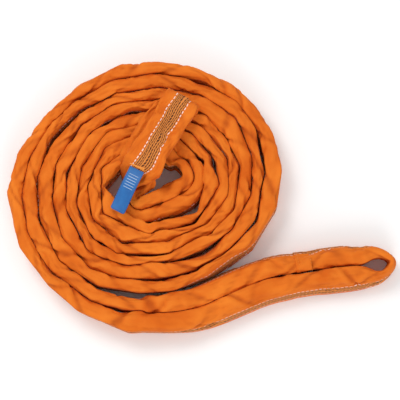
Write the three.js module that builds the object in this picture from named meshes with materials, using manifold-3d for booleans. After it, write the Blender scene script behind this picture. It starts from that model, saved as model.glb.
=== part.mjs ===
// A 10 t polyester round sling, stored: the endless sling is doubled into two legs that lie side by side,
// stand on edge and are wound clockwise into a flat coil. The outer bight lies out to the right as a tail.
// The inner bight turns back, rolls flat and crosses over the coil, with the label on it.
// Millimetres, +Z up. The origin is the centre of the whole object's bottom, where it stands on the floor.
import * as THREE from 'three';
import { mergeVertices } from 'three/addons/utils/BufferGeometryUtils.js';
import Module from 'manifold-3d';

const wasm = await Module();
wasm.setup();

// ---- driving dimensions ----
const COIL_CENTRE = new THREE.Vector2(-114, 2); // the coil's centre, seen from the origin
const STEPS_PER_TURN = 16; // every turn has its stations at the same angles
const SLEEVE_WALL = 2;
const TOUCH_GAP = 0.6; // between two legs that lie against each other
const CORE_GAP = 0.7; // between the sleeve and the yarn core in it

const EDGE_HALF_HEIGHT = 37; // half the height of a leg that stands on edge in the coil
const TAIL_HALF_HEIGHT = 32;
const TAIL_HALF_WIDTH = 48; // half the width of the tail's two legs together
const INNER_HALF_WIDTH = 20.5; // half the width of the inner end's two legs together
const FLAT_HALF_WIDTH = 40; // half the width of a leg that lies flat on the coil
const FLAT_HALF_THICKNESS = 24; // half the thickness of two legs that lie flat, one on the other
const FLAT_PAIR_HEIGHT = 99.8; // height of the middle of the two flat legs, one on the other

// Radius of the outside of each turn, clockwise in eighths from its bottom to its right, seen from above.
const TURN_RADII = [
  [277, 266, 275, 256, 270, 285, 278],
  [204, 217, 216, 213, 217, 238, 215],
  [148, 158, 160, 163, 165, 175, 173],
  [105, 112, 115, 120, 122, 131, 137],
  [60, 74, 83, 86, 86, 88, 90],
];
const RADII_PER_TURN = 8;
const STEP_IN = { start: 0.7, end: 0.95 }; // the share of a turn in which it steps inside the last one
const LAST_SPIRAL_TURN = 3.62; // after this many turns the pair leaves the spiral for the inner end

// ---- the route of the pair of legs ----
const smooth = (t) => THREE.MathUtils.smoothstep(t, 0, 1);

function turnRadius(turns) {
  const k = Math.min(Math.floor(turns), TURN_RADII.length - 1);
  const ring = TURN_RADII[k];
  const next = TURN_RADII[Math.min(k + 1, TURN_RADII.length - 1)];
  const share = turns - Math.floor(turns);
  const place = Math.min(share * RADII_PER_TURN, ring.length - 1);
  const i = Math.min(Math.floor(place), ring.length - 2);
  const own = THREE.MathUtils.lerp(ring[i], ring[i + 1], smooth(place - i));
  const inward = smooth((share - STEP_IN.start) / (STEP_IN.end - STEP_IN.start));
  return THREE.MathUtils.lerp(own, next[0], inward);
}

// A station of the pair: its middle, the direction from the inner leg to the outer leg, half the pair's
// width, half a leg's height, and how far the pair is rolled from standing on edge (0) to flat (1).
function station(x, y, side, halfWidth, halfHeight, height = halfHeight, roll = 0) {
  const side2 = new THREE.Vector2(...side).normalize();
  return { middle: new THREE.Vector3(x, y, height), side: side2, halfWidth, halfHeight, roll };
}

function spiralStation(turns) {
  const angle = -Math.PI / 2 - turns * 2 * Math.PI;
  const outer = turnRadius(turns);
  const inner = turnRadius(turns + 1);
  const out = [Math.cos(angle), Math.sin(angle)];
  const radius = (outer + inner) / 2;
  return station(radius * out[0], radius * out[1], out, (outer - inner) / 2, EDGE_HALF_HEIGHT);
}

// Stations along a curve in the floor's plane; the outer leg is on its left. setting(share) gives the
// sizes at a share of the curve's length.
function curveStations(curve, count, setting) {
  return Array.from({ length: count + 1 }, (_, i) => {
    const p = curve.getPointAt(i / count);
    const t = curve.getTangentAt(i / count);
    const s = setting(i / count);
    return station(p.x, p.y, [-t.y, t.x], s.halfWidth, s.halfHeight, s.height, s.roll);
  });
}

const curveThrough = (points) =>
  new THREE.CatmullRomCurve3(points.map(([x, y]) => new THREE.Vector3(x, y, 0)), false, 'centripetal');

// The tail, from the bottom of the coil out to where the outer bight begins.
const TAIL_ROUTE = [
  [0, -240.5],
  [50, -238.5],
  [98, -231],
  [126, -220.5],
  [170, -201],
  [236, -174.5],
  [274, -165],
  [316, -158.5],
];
const TAIL_START_HALF_WIDTH = 36.5; // half the pair's width where the tail leaves the coil
const TAIL_GROWTH = { width: 1.9, height: 2 }; // how much sooner than its end the tail has its full size
// Hinges: where they are, the heading ahead of them and the cut's swing in degrees, the radius of the
// knuckle about them, and how far a cut may reach past a leg's surface.
const TAIL_HINGE = { at: [183, -195.5], heading: 23, swing: 20, knuckle: 47.5, margin: 0.5 };
const BIGHT_HINGE = { at: [274, -165], heading: 8.6, lift: 45, knuckle: 33, margin: 1.5 };

// Each bight is a leg bent back on itself. A row says how far ahead of the hinge a ring is, how far to
// the side its middle is, and half its thickness and half its height; the way back mirrors the way out.
const OUTER_BIGHT = {
  drift: -5.5, // the tip lies this far to the right of the hinge's own line
  driftStart: 80, // ahead of the hinge
  floor: 2.4, // how far the cinched part under the sleeve joint stands off the floor
  rings: [
    [-36, 24, 23.7, 32],
    [12, 24, 23.7, 32],
    [24, 24, 21.2, 29.2],
    [68, 24, 21.2, 29.2],
    [80, 24, 23.7, 32],
    [130, 24, 23.7, 32],
    [160, 23.5, 22.5, 31.5],
    [184, 26, 15.5, 31],
    [204, 22, 11, 30],
    [218, 12, 9.5, 30],
    [224.5, 0, 9, 30],
  ],
};
const INNER_BIGHT = {
  rings: [
    [-28, 12, 11.7, 40],
    [40, 12, 11.7, 40],
    [100, 12, 11.5, 39.5],
    [122, 11.5, 9.5, 39],
    [135, 8, 7.5, 38],
    [140, 0, 7, 38],
  ],
};
const CINCHED_BELOW = 29.5; // a ring whose half height is less than this is under the sleeve joint
const JOINT_COLLAR = { start: 28, end: 64, gap: 0.3, wall: 1.3 }; // ahead of the outer bight's hinge
const STITCH_ROWS = [34, 58]; // ahead of the outer bight's hinge
const STITCH = { length: 1.6, height: 0.6 };
const LABEL = { seam: 44, width: 33, length: 92, thickness: 1.6, corner: 4, gap: 0.8, droop: 11 };
const LABEL_SEAM = { width: 37, length: 6, thickness: 1.6, gap: 5.8 };

// The inner end: the pair turns back inside the coil, broad where it fills the room between its turns, then
// makes one tight clockwise turn on edge and goes on as the straight that climbs and rolls flat.
const INNER_ROUTE = [[93, 50], [98, 27], [84, 5], [50, -13], [12, -29]];
const INNER_SPREAD = { at: 0.5, width: 0.17, extra: 6 }; // shares of the inner end's length, and mm
const TIGHT_TURN = { centre: [-10.9, -13.4], radius: 22.5, from: 210.9 }; // degrees
const CROSSING = { angle: 60.9, from: [-30.4, -2.5] }; // degrees; where the straight begins
const INNER_HINGE = { along: 78, lift: 45, knuckle: 25, margin: 1.5 }; // along is from the straight's start
const CLIMB_LENGTH = 60; // the length in which the pair climbs onto the coil and rolls flat
const CLIMB_STEP = 8; // between two stations there
const CLIMB_STEPS = 12;

const degrees = THREE.MathUtils.degToRad;
const headingVector = (angle) => new THREE.Vector3(Math.cos(degrees(angle)), Math.sin(degrees(angle)), 0);
const along = headingVector(CROSSING.angle);
const across = [-along.y, along.x];

const crossingPoint = (distance) => [
  CROSSING.from[0] + along.x * distance,
  CROSSING.from[1] + along.y * distance,
];

// Points on the tight clockwise turn, up to the heading of the straight.
function tightTurn(count) {
  const { centre, radius, from } = TIGHT_TURN;
  return Array.from({ length: count + 1 }, (_, i) => {
    const heading = degrees(THREE.MathUtils.lerp(from, CROSSING.angle, i / count));
    return [centre[0] - radius * Math.sin(heading), centre[1] + radius * Math.cos(heading)];
  });
}

function innerEndStations() {
  const lead = spiralStation(LAST_SPIRAL_TURN);
  const curve = curveThrough([[lead.middle.x, lead.middle.y], ...INNER_ROUTE, ...tightTurn(6)]);
  const { at, width, extra } = INNER_SPREAD;
  return curveStations(curve, 24, (t) => ({
    halfWidth: INNER_HALF_WIDTH + extra * Math.exp(-(((t - at) / width) ** 2)),
    halfHeight: EDGE_HALF_HEIGHT,
  })).slice(1);
}

// Rolling over, the pair grows wider than it is tall; its top rises steadily to the flat pair's top.
function climbStation(distance) {
  const t = smooth(distance / CLIMB_LENGTH);
  const halfWidth = THREE.MathUtils.lerp(INNER_HALF_WIDTH, FLAT_HALF_THICKNESS, t);
  const halfHeight = THREE.MathUtils.lerp(EDGE_HALF_HEIGHT, FLAT_HALF_WIDTH, t);
  const top = THREE.MathUtils.lerp(2 * EDGE_HALF_HEIGHT, FLAT_PAIR_HEIGHT + FLAT_HALF_THICKNESS, t);
  const reach = halfHeight * Math.cos((t * Math.PI) / 2) + halfWidth * Math.sin((t * Math.PI) / 2);
  const height = Math.max(top - reach, reach);
  return station(...crossingPoint(distance), across, halfWidth, halfHeight, height, t);
}

// ---- from a route to solids ----
// A leg's cross-section is an octagon with flat ends, so that it stands on a flat face.
const CORNER = 0.42; // how much of the half thickness each corner takes
const SECTION = [[1, -1], [1, 1], [-1, 1], [-1, -1]].flatMap(([a, b], i) => {
  const onSide = [a, b, 1, 1 - CORNER];
  const onEnd = [a, b, 1 - CORNER, 1];
  return i % 2 === 0 ? [onEnd, onSide] : [onSide, onEnd];
});

// The place of section corner i of a leg, shrunk by inset, at one ring.
function sectionPoint(ring, i, inset) {
  const [a, b, across1, along1] = SECTION[i % SECTION.length];
  const corner = ring.thin * CORNER;
  const thin = ring.thin - inset - (across1 < 1 ? corner : 0);
  const tall = ring.tall - inset - (along1 < 1 ? corner : 0);
  return ring.middle
    .clone()
    .addScaledVector(ring.thinAxis, a * Math.max(thin, 1))
    .addScaledVector(ring.tallAxis, b * tall);
}

// One leg of the pair, as rings: side is 1 for the outer leg and -1 for the inner leg.
function legRings(stations, side) {
  return stations.map((s) => {
    const roll = (s.roll * Math.PI) / 2;
    const out = new THREE.Vector3(s.side.x, s.side.y, 0);
    const up = new THREE.Vector3(0, 0, 1);
    const thinAxis = out.clone().multiplyScalar(Math.cos(roll)).addScaledVector(up, Math.sin(roll));
    const tallAxis = out.clone().multiplyScalar(-Math.sin(roll)).addScaledVector(up, Math.cos(roll));
    const thin = s.halfWidth / 2 - TOUCH_GAP / 2;
    const middle = s.middle.clone().addScaledVector(thinAxis, (side * s.halfWidth) / 2);
    // Both legs are shaped from the face on which they touch, so that their facets there match.
    return { middle, thinAxis: thinAxis.multiplyScalar(side), tallAxis, thin, tall: s.halfHeight };
  });
}

function finished(geometry) {
  geometry.deleteAttribute('normal');
  geometry.deleteAttribute('uv');
  const merged = mergeVertices(geometry, 1e-3);
  const p = merged.attributes.position;
  const index = merged.index.array;
  const [a, b, c] = [new THREE.Vector3(), new THREE.Vector3(), new THREE.Vector3()];
  let volume = 0;
  for (let i = 0; i < index.length; i += 3) {
    a.fromBufferAttribute(p, index[i]);
    b.fromBufferAttribute(p, index[i + 1]);
    c.fromBufferAttribute(p, index[i + 2]);
    volume += a.dot(b.cross(c)) / 6;
  }
  if (volume < 0) merged.setIndex(Array.from(index).reverse());
  return merged;
}

// A solid leg: a cylinder whose rings are laid on the leg's rings.
function solidAlong(rings, inset) {
  const sides = SECTION.length;
  const steps = rings.length - 1;
  const geometry = new THREE.CylinderGeometry(1, 1, steps, sides, steps);
  const p = geometry.attributes.position;
  for (let i = 0; i < p.count; i++) {
    const step = Math.round(p.getY(i) + steps / 2);
    const ring = rings[step];
    const centred = Math.hypot(p.getX(i), p.getZ(i)) < 0.5;
    const turn = Math.atan2(p.getX(i), p.getZ(i)) / (2 * Math.PI);
    const corner = Math.round((turn + 1) * sides) % sides;
    const to = centred ? ring.middle : sectionPoint(ring, corner, inset);
    p.setXYZ(i, to.x, to.y, to.z);
  }
  return finished(geometry);
}

// ---- cuts, where one body swings on the next ----
const toManifold = (geometry) =>
  new wasm.Manifold(
    new wasm.Mesh({
      numProp: 3,
      vertProperties: new Float32Array(geometry.attributes.position.array),
      triVerts: new Uint32Array(geometry.index.array),
    }),
  );

const SLIVER = 0.03; // no facet is left narrower than this
function fromManifold(solid) {
  const mesh = solid.simplify(SLIVER).getMesh(); // booleans leave slivers
  const geometry = new THREE.BufferGeometry();
  geometry.setAttribute('position', new THREE.BufferAttribute(new Float32Array(mesh.vertProperties), 3));
  geometry.setIndex(new THREE.BufferAttribute(new Uint32Array(mesh.triVerts), 1));
  return geometry;
}

// The rings with one more at each end, so that a bore made along them runs out of the leg.
function runningOut(rings) {
  const beyond = (last, before) => ({
    ...last,
    middle: last.middle.clone().multiplyScalar(2).sub(before.middle),
  });
  return [beyond(rings[0], rings[1]), ...rings, beyond(rings.at(-1), rings.at(-2))];
}

// A hollow leg, open at both ends: a solid one with the room for its core taken out.
function hollowAlong(rings, inset, wall) {
  const bore = toManifold(solidAlong(runningOut(rings), inset + wall));
  return fromManifold(toManifold(solidAlong(rings, inset)).subtract(bore));
}

const BLOCK = 400; // size of a cutting block, larger than any leg
const HINGE_REACH = 300; // how far ahead of a hinge its body reaches, at most
const HINGE_GAP = 0.5; // between the knuckle and the leg it turns in

// The room a hinged body takes: a knuckle about the hinge and everything ahead of it.
// frame turns the hinge's own axes (x ahead, z along the axis) into place.
function hingeRoom(frame, radius, turns) {
  const knuckle = new THREE.CylinderGeometry(radius, radius, BLOCK, 24).rotateX(Math.PI / 2);
  let room = toManifold(finished(knuckle.applyMatrix4(frame)));
  for (const turn of turns) {
    const ahead = new THREE.BoxGeometry(HINGE_REACH, BLOCK, BLOCK).translate(HINGE_REACH / 2, 0, 0);
    ahead.rotateZ(turn).applyMatrix4(frame);
    room = room.add(toManifold(finished(ahead)));
  }
  return room;
}

function hinge(at, ahead, axis, { knuckle, margin }, sweep) {
  const z = axis.clone().normalize();
  const x = ahead.clone().normalize();
  const frame = new THREE.Matrix4().makeBasis(x, new THREE.Vector3().crossVectors(z, x), z).setPosition(at);
  return {
    mine: hingeRoom(frame, knuckle, [0]),
    kept: hingeRoom(frame, knuckle + HINGE_GAP, sweep),
    margin,
  };
}

const cutChild = (geometry, joint) => fromManifold(toManifold(geometry).intersect(joint.mine));
// Only the end of a leg, given by its last rings, is cut, and not the turns of the coil near the hinge.
function cutParent(geometry, joint, endRings) {
  const end = toManifold(solidAlong(runningOut(endRings), -joint.margin));
  return fromManifold(toManifold(geometry).subtract(joint.kept.intersect(end)));
}

// ---- materials ----
const material = (color, roughness) =>
  new THREE.MeshStandardMaterial({ color, roughness, metalness: 0 });
const SLEEVE = material(0xe86e1c, 0.85);
const CORE = material(0xe9e2cf, 0.9);
const THREAD = material(0xf0872e, 0.8);
const TAG = material(0x1c63b8, 0.5);

// ---- the sling ----
const sling = new THREE.Group();
sling.position.set(COIL_CENTRE.x, COIL_CENTRE.y, 0);

function add(name, geometry, finish) {
  const mesh = new THREE.Mesh(geometry, finish);
  mesh.name = name;
  sling.add(mesh);
  return mesh;
}

function addLeg(prefix, suffix, rings, cut) {
  add(`${prefix}_sleeve${suffix}`, cut(hollowAlong(rings, 0, SLEEVE_WALL)), SLEEVE);
  add(`${prefix}_core${suffix}`, cut(solidAlong(rings, SLEEVE_WALL + CORE_GAP)), CORE);
}

const tailCurve = curveThrough(TAIL_ROUTE);
const tailStations = curveStations(tailCurve, 12, (t) => ({
  halfWidth: THREE.MathUtils.lerp(TAIL_START_HALF_WIDTH, TAIL_HALF_WIDTH, smooth(t * TAIL_GROWTH.width)),
  halfHeight: THREE.MathUtils.lerp(EDGE_HALF_HEIGHT, TAIL_HALF_HEIGHT, smooth(t * TAIL_GROWTH.height)),
}));
// The curve runs away from the coil, so its left is the coil's side.
tailStations.forEach((s) => s.side.negate());
tailStations.reverse();

const spiralStations = [];
for (let i = 1; i <= LAST_SPIRAL_TURN * STEPS_PER_TURN; i++) {
  spiralStations.push(spiralStation(i / STEPS_PER_TURN));
}
const climbStations = Array.from({ length: CLIMB_STEPS }, (_, i) => climbStation(4 + i * CLIMB_STEP));
const pairStations = [...tailStations, ...spiralStations, ...innerEndStations(), ...climbStations];

const up = new THREE.Vector3(0, 0, 1);
const tailHinge = hinge(
  new THREE.Vector3(...TAIL_HINGE.at, 0),
  headingVector(TAIL_HINGE.heading),
  up,
  TAIL_HINGE,
  [degrees(TAIL_HINGE.swing), degrees(-TAIL_HINGE.swing)],
);
const bightAhead = headingVector(BIGHT_HINGE.heading);
const bightAxis = new THREE.Vector3().crossVectors(bightAhead, up);
const bightHinge = hinge(
  new THREE.Vector3(...BIGHT_HINGE.at, TAIL_HALF_HEIGHT),
  bightAhead,
  bightAxis,
  BIGHT_HINGE,
  [0, degrees(BIGHT_HINGE.lift)],
);
const innerAxis = new THREE.Vector3().crossVectors(along, up);
const innerHinge = hinge(
  new THREE.Vector3(...crossingPoint(INNER_HINGE.along), FLAT_PAIR_HEIGHT),
  along,
  innerAxis,
  INNER_HINGE,
  [0, degrees(INNER_HINGE.lift)],
);

const LEGS = { outer: 1, inner: -1 };
const TAIL_STATIONS = 9; // from the outer bight to just past the tail's hinge
const END_STATIONS = 6; // the stations at each end of the coil that a hinge may cut
for (const [name, side] of Object.entries(LEGS)) {
  const coilRings = legRings(pairStations.slice(TAIL_STATIONS - 4), side);
  const outerEnd = coilRings.slice(0, END_STATIONS);
  const innerEnd = coilRings.slice(-END_STATIONS);
  addLeg('coil', `_${name}_leg`, coilRings, (g) =>
    cutParent(cutParent(g, tailHinge, outerEnd), innerHinge, innerEnd),
  );
  const tailRings = legRings(pairStations.slice(0, TAIL_STATIONS), side);
  addLeg('tail', `_${name}_leg`, tailRings, (g) => cutParent(cutChild(g, tailHinge), bightHinge, tailRings));
}

// Rings of a bight: out along one side, around the tip and back. place(ahead, sideways) gives a point,
// and turn(angle) the leg's thin axis where the leg heads that way from the hinge's own direction.
function bightRings(rows, drift, place, tallAxis, heightOf) {
  const back = rows.slice(0, -1).reverse();
  const tip = rows.at(-1)[0];
  const points = [
    ...rows.map(([x, y]) => [x, -y]),
    ...back.map(([x, y]) => [x, y]),
  ].map(([x, y]) => new THREE.Vector2(x, y + drift * smooth((x - OUTER_BIGHT.driftStart) / (tip - OUTER_BIGHT.driftStart))));
  const sizes = [...rows, ...back];
  return points.map((p, i) => {
    const heading = points[Math.min(i + 1, points.length - 1)].clone().sub(points[Math.max(i - 1, 0)]);
    heading.normalize();
    const thinAxis = place(-heading.y, heading.x).sub(place(0, 0));
    const middle = place(p.x, p.y);
    const [, , thin, tall] = sizes[i];
    if (heightOf) middle.z = heightOf(tall);
    return { middle, thinAxis, tallAxis, thin, tall };
  });
}

// The outer bight lies on edge, so it bends in the floor's plane.
const bightLeft = new THREE.Vector3().crossVectors(up, bightAhead);
const outerBight = bightRings(
  OUTER_BIGHT.rings,
  OUTER_BIGHT.drift,
  (x, y) =>
    new THREE.Vector3(...BIGHT_HINGE.at, 0).addScaledVector(bightAhead, x).addScaledVector(bightLeft, y),
  up,
  (tall) => (tall < CINCHED_BELOW ? tall + OUTER_BIGHT.floor : tall),
);
addLeg('outer_bight', '', outerBight, (g) => cutChild(g, bightHinge));

// The inner bight lies flat, one leg on the other, so it bends in an upright plane.
const innerBight = bightRings(
  INNER_BIGHT.rings,
  0,
  (x, y) =>
    new THREE.Vector3(...crossingPoint(INNER_HINGE.along), FLAT_PAIR_HEIGHT)
      .addScaledVector(along, x)
      .addScaledVector(up, -y),
  innerAxis,
);
addLeg('inner_bight', '', innerBight, (g) => cutChild(g, innerHinge));

// The sleeve's two ends overlap in a sewn joint, on the outer bight's leg beside the coil.
const cinched = outerBight.at(-4);
const cinchedRing = (ahead) => ({
  ...cinched,
  middle: cinched.middle.clone().addScaledVector(bightAhead, ahead - OUTER_BIGHT.rings[3][0]),
});
const collarInset = -(JOINT_COLLAR.gap + JOINT_COLLAR.wall);
add(
  'sleeve_joint_overlap',
  hollowAlong([cinchedRing(JOINT_COLLAR.start), cinchedRing(JOINT_COLLAR.end)], collarInset, JOINT_COLLAR.wall),
  SLEEVE,
);
STITCH_ROWS.forEach((row, i) => {
  const ends = [cinchedRing(row - STITCH.length / 2), cinchedRing(row + STITCH.length / 2)];
  const wall = STITCH.height - 0.3;
  add(`sleeve_joint_stitch_row_${i + 1}`, hollowAlong(ends, collarInset - STITCH.height, wall), THREAD);
});

// The label is sewn on at its upper edge, and its stiff lower part stands free over the coil's hole.
const seat = legRings([climbStation(LABEL.seam)], LEGS.outer)[0];
const seatNormal = seat.thinAxis;
const seatAcross = new THREE.Vector3().crossVectors(seatNormal, along).normalize();
const droop = new THREE.Quaternion().setFromAxisAngle(seatAcross, degrees(-LABEL.droop));
const seatPoint = seat.middle.clone().addScaledVector(seatNormal, seat.thin + LABEL.gap);

function roundedPlate(width, length, thickness, corner) {
  const shape = new THREE.Shape();
  const [x, y] = [width / 2, length];
  shape.moveTo(-x, 0).lineTo(x, 0).lineTo(x, y - corner);
  shape.absarc(x - corner, y - corner, corner, 0, Math.PI / 2);
  shape.absarc(corner - x, y - corner, corner, Math.PI / 2, Math.PI);
  shape.lineTo(-x, 0);
  return new THREE.ExtrudeGeometry(shape, { depth: thickness, bevelEnabled: false, curveSegments: 4 });
}

function laidOn(geometry, origin, lengthwise, normal) {
  const y = lengthwise.clone().normalize();
  const z = normal.clone().normalize();
  const frame = new THREE.Matrix4().makeBasis(new THREE.Vector3().crossVectors(y, z), y, z);
  return finished(geometry.applyMatrix4(frame.setPosition(origin)));
}

const tagDown = along.clone().negate().applyQuaternion(droop);
const tagNormal = seatNormal.clone().applyQuaternion(droop);
add(
  'label_tag',
  laidOn(
    roundedPlate(LABEL.width, LABEL.length, LABEL.thickness, LABEL.corner),
    seatPoint.clone().addScaledVector(tagDown, 0.4),
    tagDown,
    tagNormal,
  ),
  TAG,
);
const seamSeat = legRings([climbStation(LABEL.seam + LABEL_SEAM.length / 2)], LEGS.outer)[0];
const seamMiddle = seamSeat.middle.clone().addScaledVector(seamSeat.thinAxis, seamSeat.thin + LABEL_SEAM.gap);
add(
  'label_seam',
  laidOn(
    new THREE.BoxGeometry(LABEL_SEAM.width, LABEL_SEAM.length, LABEL_SEAM.thickness),
    seamMiddle,
    along,
    seamSeat.thinAxis,
  ),
  THREAD,
);

export default sling;
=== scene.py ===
# A stored 10 t polyester round sling: one endless sleeve of woven fabric over a core of yarn, doubled into
# two legs that are wound on edge into a flat coil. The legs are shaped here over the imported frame's bodies.
# Route lengths are in millimetres, in the coil's own coordinates; to_row turns them into the row's metres.
import math

import bpy
import numpy as np
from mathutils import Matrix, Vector


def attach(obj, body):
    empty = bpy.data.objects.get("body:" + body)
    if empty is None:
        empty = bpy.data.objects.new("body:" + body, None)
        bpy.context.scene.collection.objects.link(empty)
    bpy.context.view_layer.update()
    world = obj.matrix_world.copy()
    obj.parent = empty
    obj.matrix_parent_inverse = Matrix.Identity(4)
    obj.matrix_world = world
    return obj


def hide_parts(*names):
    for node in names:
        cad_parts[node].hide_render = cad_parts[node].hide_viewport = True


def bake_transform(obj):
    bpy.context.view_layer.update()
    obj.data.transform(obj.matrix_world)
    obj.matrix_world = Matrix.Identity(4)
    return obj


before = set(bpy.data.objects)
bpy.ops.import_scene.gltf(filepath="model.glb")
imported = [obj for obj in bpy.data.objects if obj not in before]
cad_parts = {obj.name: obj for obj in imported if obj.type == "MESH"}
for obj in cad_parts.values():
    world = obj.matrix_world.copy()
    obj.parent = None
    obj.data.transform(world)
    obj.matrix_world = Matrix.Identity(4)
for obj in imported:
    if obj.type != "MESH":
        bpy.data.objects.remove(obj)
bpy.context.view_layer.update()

MM = 0.001
COIL_CENTRE = np.array([-114.0, 2.0, 0.0])
UP = np.array([0.0, 0.0, 1.0])
SEED = 20

# ---- the route ----
# It is the frame's, except that the last row of radii is smaller and the inner end spreads further, so that
# the innermost legs fill more of the coil's middle.
# Radius of the outside of each turn, clockwise in eighths from its bottom to its right, seen from above.
TURN_RADII = np.array(
    [
        [277, 266, 275, 256, 270, 285, 278],
        [204, 217, 216, 213, 217, 238, 215],
        [148, 158, 160, 163, 165, 175, 173],
        [105, 112, 115, 120, 122, 131, 137],
        [54, 66, 75, 79, 77, 78, 82],
    ],
    float,
)
RADII_PER_TURN = 8
STEP_IN_START, STEP_IN_LENGTH = 0.7, 0.25  # the share of a turn in which it steps inside the last one
LAST_SPIRAL_TURN = 3.62
EDGE_HALF_HEIGHT = 37.0
COIL_HALF_WIDTH = 36.5  # half the width of the two legs where the tail leaves the coil
TAIL_HALF_HEIGHT, TAIL_HALF_WIDTH = 32.0, 48.0
INNER_HALF_WIDTH = 20.5
FLAT_HALF_WIDTH, FLAT_HALF_THICKNESS, FLAT_PAIR_HEIGHT = 40.0, 24.0, 99.8
TAIL_ROUTE = [[0, -240.5], [50, -238.5], [98, -231], [126, -220.5], [170, -201], [236, -174.5], [274, -165]]
TAIL_ROUTE_END = [316, -158.5]
TAIL_HINGE, TAIL_HEADING = [183, -195.5], 23.0
BIGHT_HINGE, BIGHT_HEADING = [274, -165], 8.6
INNER_ROUTE = [[93, 50], [98, 27], [84, 5], [50, -13], [12, -29]]
INNER_SPREAD = (0.5, 0.26, 12)  # shares of the inner end's length, and how much broader the pair is there
TIGHT_TURN = ([-10.9, -13.4], 22.5)  # centre and radius
TIGHT_TURN_FROM = 210.9  # heading in degrees
CROSSING_ANGLE, CROSSING_FROM = 60.9, np.array([-30.4, -2.5])
CLIMB_LENGTH = 60.0
INNER_HINGE_ALONG = 78.0
# Rings of a bight: ahead of its hinge, to the side, half thickness and half height.
OUTER_BIGHT = [
    [0, 24, 23.7, 32],
    [12, 24, 23.7, 32],
    [24, 24, 21.4, 30],
    [68, 24, 21.4, 30],
    [80, 24, 23.4, 32],
    [130, 24, 23.4, 32],
    [160, 23.5, 22.0, 31.5],
    [184, 26, 15.5, 31],
    [204, 22, 11, 30],
    [218, 12, 9.5, 30],
    [224.5, 0, 9, 30],
]
OUTER_BIGHT_DRIFT, DRIFT_START = -5.5, 80.0
INNER_BIGHT = [
    [0, 12, 11.4, 40],
    [60, 11.5, 10.4, 40],
    [100, 10, 8.6, 39.5],
    [122, 9, 7.6, 39],
    [135, 6.5, 6.8, 38],
    [140, 0, 6.4, 38],
]
INNER_TIP_SINK = 11.0  # how far the inner bight's tip lies lower than its hinge

# ---- the slack of the fabric ----
TOUCH_GAP = 0.8  # between two legs that lie against each other
# Where the turns stand apart: turns along the spiral, half length in turns, width.
TURN_GAPS = [
    (1.025, 0.05, 11),
    (1.345, 0.035, 10),
    (2.42, 0.012, 6),
    (2.48, 0.02, 6),
    (2.29, 0.012, 5),
    (1.96, 0.012, 5),
]
# Where the pair's two legs stand apart, in the same way.
LEG_GAPS = [
    (0.035, 0.012, 7),
    (0.57, 0.012, 8),
    (0.69, 0.035, 5),
    (0.79, 0.02, 5),
    (0.985, 0.02, 5),
    (1.586, 0.01, 7),
    (2.0, 0.04, 4),
    (2.11, 0.008, 6),
    (2.683, 0.01, 7),
    (2.845, 0.04, 6),
]
TAIL_LEG_GAP = (284, 26, 7)  # ahead in x, half length, width
# Where one leg of the pair is broader than the other: turns, half length, and how far the middle shifts.
LEG_SHIFTS = [(1.625, 0.05, -14), (0.75, 0.08, -4), (2.75, 0.06, -4), (3.6, 0.06, -4)]
THINNEST_LEG = 9.0
LEAN = 7.0  # how far the top of a leg may lean over the next one
TAIL_LEAN = 17.0  # how far the tail's outer flanks slope inwards
TAIL_LEAN_STARTS, TAIL_LEAN_GROWS = 40.0, 120.0  # along x
TAIL_BELOW_Y = -90.0
TAIL_LEAN_EASES, TAIL_LEAN_EASING = 440.0, 60.0  # along x, towards the eye
LOWER_LEG_SHIFT = 13.0  # how far the lower leg of the flat crossing shows beside the upper one

AROUND = 72  # points around a leg
RING_STEP = 3.0  # between two rings along the sleeve
ROUTE_BLUR = 5.0  # smooths the line's joints
RELIEF_BLUR = 30.0  # folds shorter than this count as relief
GIRTH = 168.0  # the sleeve's
CORE_GIRTH = 110.0


def smooth(t):
    t = np.clip(t, 0, 1)
    return t * t * (3 - 2 * t)


def lerp(a, b, t):
    return a + (b - a) * t


def unit(v):
    return v / np.maximum(np.linalg.norm(v, axis=-1, keepdims=True), 1e-9)


def heading_vector(degrees):
    a = math.radians(degrees)
    return np.array([math.cos(a), math.sin(a), 0.0])


def bump(x, at, half_length):
    return np.exp(-(((x - at) / half_length) ** 2))


def noise(x, y, z, seed):
    """Smooth gradient noise, mostly between -1 and 1."""
    rng = np.random.default_rng(seed)
    table = rng.permutation(256)
    slopes = unit(rng.normal(size=(256, 3)))
    p = np.stack(np.broadcast_arrays(x, y, z), axis=-1).astype(float)
    cell = np.floor(p).astype(int)
    f = p - cell
    fade = f**3 * (f * (f * 6 - 15) + 10)
    total = np.zeros(p.shape[:-1])
    for corner in np.ndindex(2, 2, 2):
        c = cell + corner
        i = table[(table[(table[c[..., 0] & 255] + c[..., 1]) & 255] + c[..., 2]) & 255]
        weight = np.prod(np.where(corner, fade, 1 - fade), axis=-1)
        total += weight * (slopes[i] * (f - corner)).sum(-1)
    return total * 1.7


def noise_along(x, seed):
    return noise(x, 0.37, 0.61, seed)


def curve_through(points, per_span=40):
    """A centripetal Catmull-Rom curve through the points."""
    p = np.array(points, float)
    p = np.vstack([2 * p[0] - p[1], p, 2 * p[-1] - p[-2]])
    t = np.linspace(0, 1, per_span, endpoint=False)[:, None]
    spans = []
    for a, b, c, d in zip(p, p[1:], p[2:], p[3:]):
        t0, t1, t2 = [max(np.linalg.norm(v), 1e-6) ** 0.5 for v in (b - a, c - b, d - c)]
        leave = ((b - a) / t0 - (c - a) / (t0 + t1) + (c - b) / t1) * t1
        arrive = ((c - b) / t1 - (d - b) / (t1 + t2) + (d - c) / t2) * t1
        square = 3 * (c - b) - 2 * leave - arrive
        cube = 2 * (b - c) + leave + arrive
        spans.append(b + leave * t + square * t**2 + cube * t**3)
    return np.vstack(spans + [p[-2:-1]])


def arc_length(points):
    return np.concatenate([[0], np.cumsum(np.linalg.norm(np.diff(points, axis=0), axis=1))])


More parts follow.
